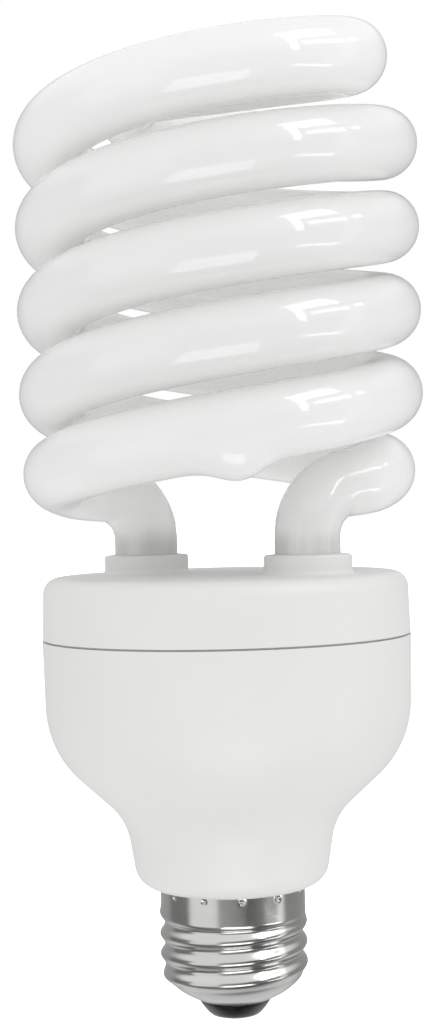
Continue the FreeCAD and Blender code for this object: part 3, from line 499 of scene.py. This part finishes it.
# The powder's edge on the legs, a little above the collars, and the bare glass below it. The bare glass
# is painted grey, partly for the thin powder and partly as painted shade under the coil, with long
# light and dark streaks painted in place of the reflections in the clear glass and the stem inside it.
COAT_EDGE = 86.5
COAT_FADE = 2.5
PAINTED_STREAK_WIDTH = 2.2
PAINTED_STREAK_DRAW = 0.04
spot = add_node(tree, "ShaderNodeTexCoord").outputs["Object"]
height = add_node(tree, "ShaderNodeSeparateXYZ", None, {"Vector": spot}).outputs["Z"]
powder_edge = {
    "interpolation_type": "SMOOTHSTEP",
    "From Min": (COAT_EDGE - COAT_FADE) * mm, "From Max": (COAT_EDGE + COAT_FADE) * mm,
}
coated = add_node(tree, "ShaderNodeMapRange", powder_edge, {"Value": height}).outputs[0]
drawn = {"Scale": (1, 1, PAINTED_STREAK_DRAW)}
upright = add_node(tree, "ShaderNodeMapping", drawn, {"Vector": spot}).outputs[0]
painted_streak_size = {"Scale": 1 / (PAINTED_STREAK_WIDTH * mm), "Detail": 2.0}
painted_streaks = add_node(tree, "ShaderNodeTexNoise", painted_streak_size, {"Vector": upright}).outputs[0]
# Painted shade and painted reflections: the bare glass is grey for the shade under the coil, with light
# and dark streaks for what shows in the clear glass.
shaded_bare_glass_colours = {"data_type": "RGBA", MIX_FROM: linear("BEBEBE"), MIX_TO: linear("F2F2F2")}
shaded_bare_glass = add_node(tree, "ShaderNodeMix", shaded_bare_glass_colours, {"Factor": painted_streaks}).outputs[MIXED]
powder = shader.inputs["Base Color"].links[0].from_socket
coat_links = {"Factor": coated, MIX_FROM: shaded_bare_glass, MIX_TO: powder}
skin = add_node(tree, "ShaderNodeMix", {"data_type": "RGBA"}, coat_links).outputs[MIXED]
tree.links.new(skin, shader.inputs["Base Color"])
tree.links.new(coated, shader.inputs["Subsurface Weight"])
add_piece("glass_tube", tube_mesh, coated_glass, "coated_glass", "glass_spiral")

# Stage: a pure white table that runs out to a white room, as in a catalogue cut-out.
TABLE_REACH = 6.0
TABLE_TOP = -0.0005
scene = bpy.context.scene
scene.view_settings.view_transform = "Standard"
table_corners = [
    (across * TABLE_REACH, along * TABLE_REACH, TABLE_TOP)
    for across, along in ((-1, -1), (1, -1), (1, 1), (-1, 1))
]
floor_mesh = bpy.data.meshes.new("white_table")
floor_mesh.from_pydata(table_corners, [], [(0, 1, 2, 3)])
white_paper = bpy.data.materials.new("lit_white_paper")
white_paper.use_nodes = True
paper = white_paper.node_tree.nodes["Principled BSDF"]
paper.inputs["Base Color"].default_value = linear("FFFFFF")
paper.inputs["Emission Color"].default_value = linear("FFFFFF")
paper.inputs["Emission Strength"].default_value = 1.0
floor_mesh.materials.append(white_paper)
floor = bpy.data.objects.new("white_table", floor_mesh)
scene.collection.objects.link(floor)
floor.visible_diffuse = False
floor.visible_glossy = False
floor.visible_shadow = False

# The room: white to the camera, an even soft light on the lamp, a little stronger from the white table
# below, and bands of light and dark walls between table and ceiling that show in its metal.
WHITE = (1, 1, 1, 1)
FILL_BELOW = (0.96, 0.96, 0.96, 1)
FILL_ABOVE = (0.89, 0.89, 0.89, 1)
wall_bands = (
    (0.0, 0.22), (0.035, 0.22), (0.055, 0.95), (0.172, 0.95),
    (0.192, 0.4), (0.29, 0.24), (0.312, 0.1), (0.4, 0.28),
    (0.45, 0.35), (0.462, 0.95), (0.485, 0.95), (0.5, 0.3),
    (0.75, 0.42), (0.9, 0.4), (0.94, 0.22), (1.0, 0.22),
)
room = bpy.data.worlds.new("white_room")
scene.world = room
room.use_nodes = True
tree = room.node_tree
tree.nodes.clear()
way = add_node(tree, "ShaderNodeTexCoord").outputs["Generated"]
compass = add_node(tree, "ShaderNodeTexGradient", {"gradient_type": "RADIAL"}, {"Vector": way})
walls = add_node(tree, "ShaderNodeValToRGB", None, {"Fac": compass.outputs["Fac"]})
ramp = walls.color_ramp
while len(ramp.elements) < len(wall_bands):
    ramp.elements.new(0.5)
# A band that gets its place may change its number in the ramp, so the greys are set after all places.
for element, (position, _) in zip(ramp.elements, wall_bands):
    element.position = position
for element, (_, grey) in zip(ramp.elements, wall_bands):
    element.color = (grey, grey, grey, 1)
directions = add_node(tree, "ShaderNodeSeparateXYZ", None, {"Vector": way})
rise = {"Value": directions.outputs["Z"]}
depth = {"Value": directions.outputs["Y"]}
ceiling_edge = {"interpolation_type": "SMOOTHSTEP", "From Min": 0.25, "From Max": 0.6}
up = add_node(tree, "ShaderNodeMapRange", ceiling_edge, rise).outputs[0]
table_edge = {"From Min": -0.4, "From Max": -0.65, "To Max": 0.8}
low = add_node(tree, "ShaderNodeMapRange", table_edge, rise).outputs[0]
above = add_node(tree, "ShaderNodeMapRange", {"From Min": -0.3, "From Max": 0.3}, rise).outputs[0]
fills = {"data_type": "RGBA", MIX_FROM: FILL_BELOW, MIX_TO: FILL_ABOVE}
fill = add_node(tree, "ShaderNodeMix", fills, {"Factor": above}).outputs[MIXED]
to_white = {"data_type": "RGBA", MIX_TO: WHITE}
ceiling_links = {"Factor": up, MIX_FROM: walls.outputs[0]}
ceiling = add_node(tree, "ShaderNodeMix", to_white, ceiling_links).outputs[MIXED]
table_range = {"From Min": -0.1, "From Max": 0.35, "To Min": 0.05, "To Max": 0.85}
table = add_node(tree, "ShaderNodeMapRange", table_range, depth).outputs[0]
mirror_links = {"Factor": low, MIX_FROM: ceiling, MIX_TO: table}
mirror = add_node(tree, "ShaderNodeMix", {"data_type": "RGBA"}, mirror_links).outputs[MIXED]
ray = add_node(tree, "ShaderNodeLightPath")
soft_links = {"Factor": ray.outputs["Is Glossy Ray"], MIX_FROM: fill, MIX_TO: mirror}
soft = add_node(tree, "ShaderNodeMix", {"data_type": "RGBA"}, soft_links).outputs[MIXED]
seen_links = {"Factor": ray.outputs["Is Camera Ray"], MIX_FROM: soft}
seen = add_node(tree, "ShaderNodeMix", to_white, seen_links).outputs[MIXED]
backdrop = add_node(tree, "ShaderNodeBackground", {"Strength": 1.0}, {"Color": seen})
add_node(tree, "ShaderNodeOutputWorld", None, {"Surface": backdrop.outputs[0]})

# Light panels: a large soft box for the shading, and panes, strips and a low reflector that only show
# as highlights on the glass and the metal.
PANEL_AIM = Vector((0, 0, 0.12))


def panel(name, bearing, rise, width, height, radiance, shapes, distance=1.3):
    """A flat light panel that faces the lamp, at a bearing in degrees to the right of the camera
    and a rise above level. It either shapes the lamp's soft shading or only shows in its gloss."""
    light = bpy.data.lights.new(name, "AREA")
    light.shape = "RECTANGLE"
    light.size, light.size_y = width, height
    light.energy = radiance * math.pi * width * height
    lamp = bpy.data.objects.new(name, light)
    turn, lift = math.radians(bearing), math.radians(rise)
    level = math.cos(lift)
    out = Vector((math.sin(turn) * level, -math.cos(turn) * level, math.sin(lift)))
    facing = (-out).to_track_quat("-Z", "Y").to_matrix().to_4x4()
    lamp.matrix_world = Matrix.Translation(PANEL_AIM + out * distance) @ facing
    scene.collection.objects.link(lamp)
    lamp.visible_camera = False
    lamp.visible_diffuse = shapes == "shading"
    lamp.visible_glossy = shapes == "gloss"


panel("key_softbox", 48, 38, 1.1, 1.1, 0.55, "shading", 1.5)
panel("window_jamb", 45, 33, 0.11, 0.9, 5.0, "gloss")
panel("window_head", 64, 54, 0.55, 0.42, 5.0, "gloss")
panel("window_sill", 65, 31, 0.55, 0.20, 3.6, "gloss")
panel("window_pane", 88, 32, 0.14, 0.14, 4.0, "gloss")
panel("low_reflector", 6, -42, 0.95, 0.7, 2.2, "gloss")
panel("side_strip", 66, -24, 0.60, 0.13, 3.6, "gloss")

# Camera: in front of the lamp at half its height, with the slight roll of the photograph.
CAMERA_PLACE = (-0.00085, -0.3225, 0.0928)
CAMERA_PITCH = math.radians(90) - 0.008
CAMERA_ROLL = -0.024
view = bpy.data.cameras.new("front_view")
view.sensor_fit = "VERTICAL"
view.sensor_height = 36.0
view.lens = 63.28
camera = bpy.data.objects.new("front_view", view)
tilt = Matrix.Rotation(CAMERA_PITCH, 4, "X") @ Matrix.Rotation(CAMERA_ROLL, 4, "Z")
camera.matrix_world = Matrix.Translation(CAMERA_PLACE) @ tilt
scene.collection.objects.link(camera)
scene.camera = camera
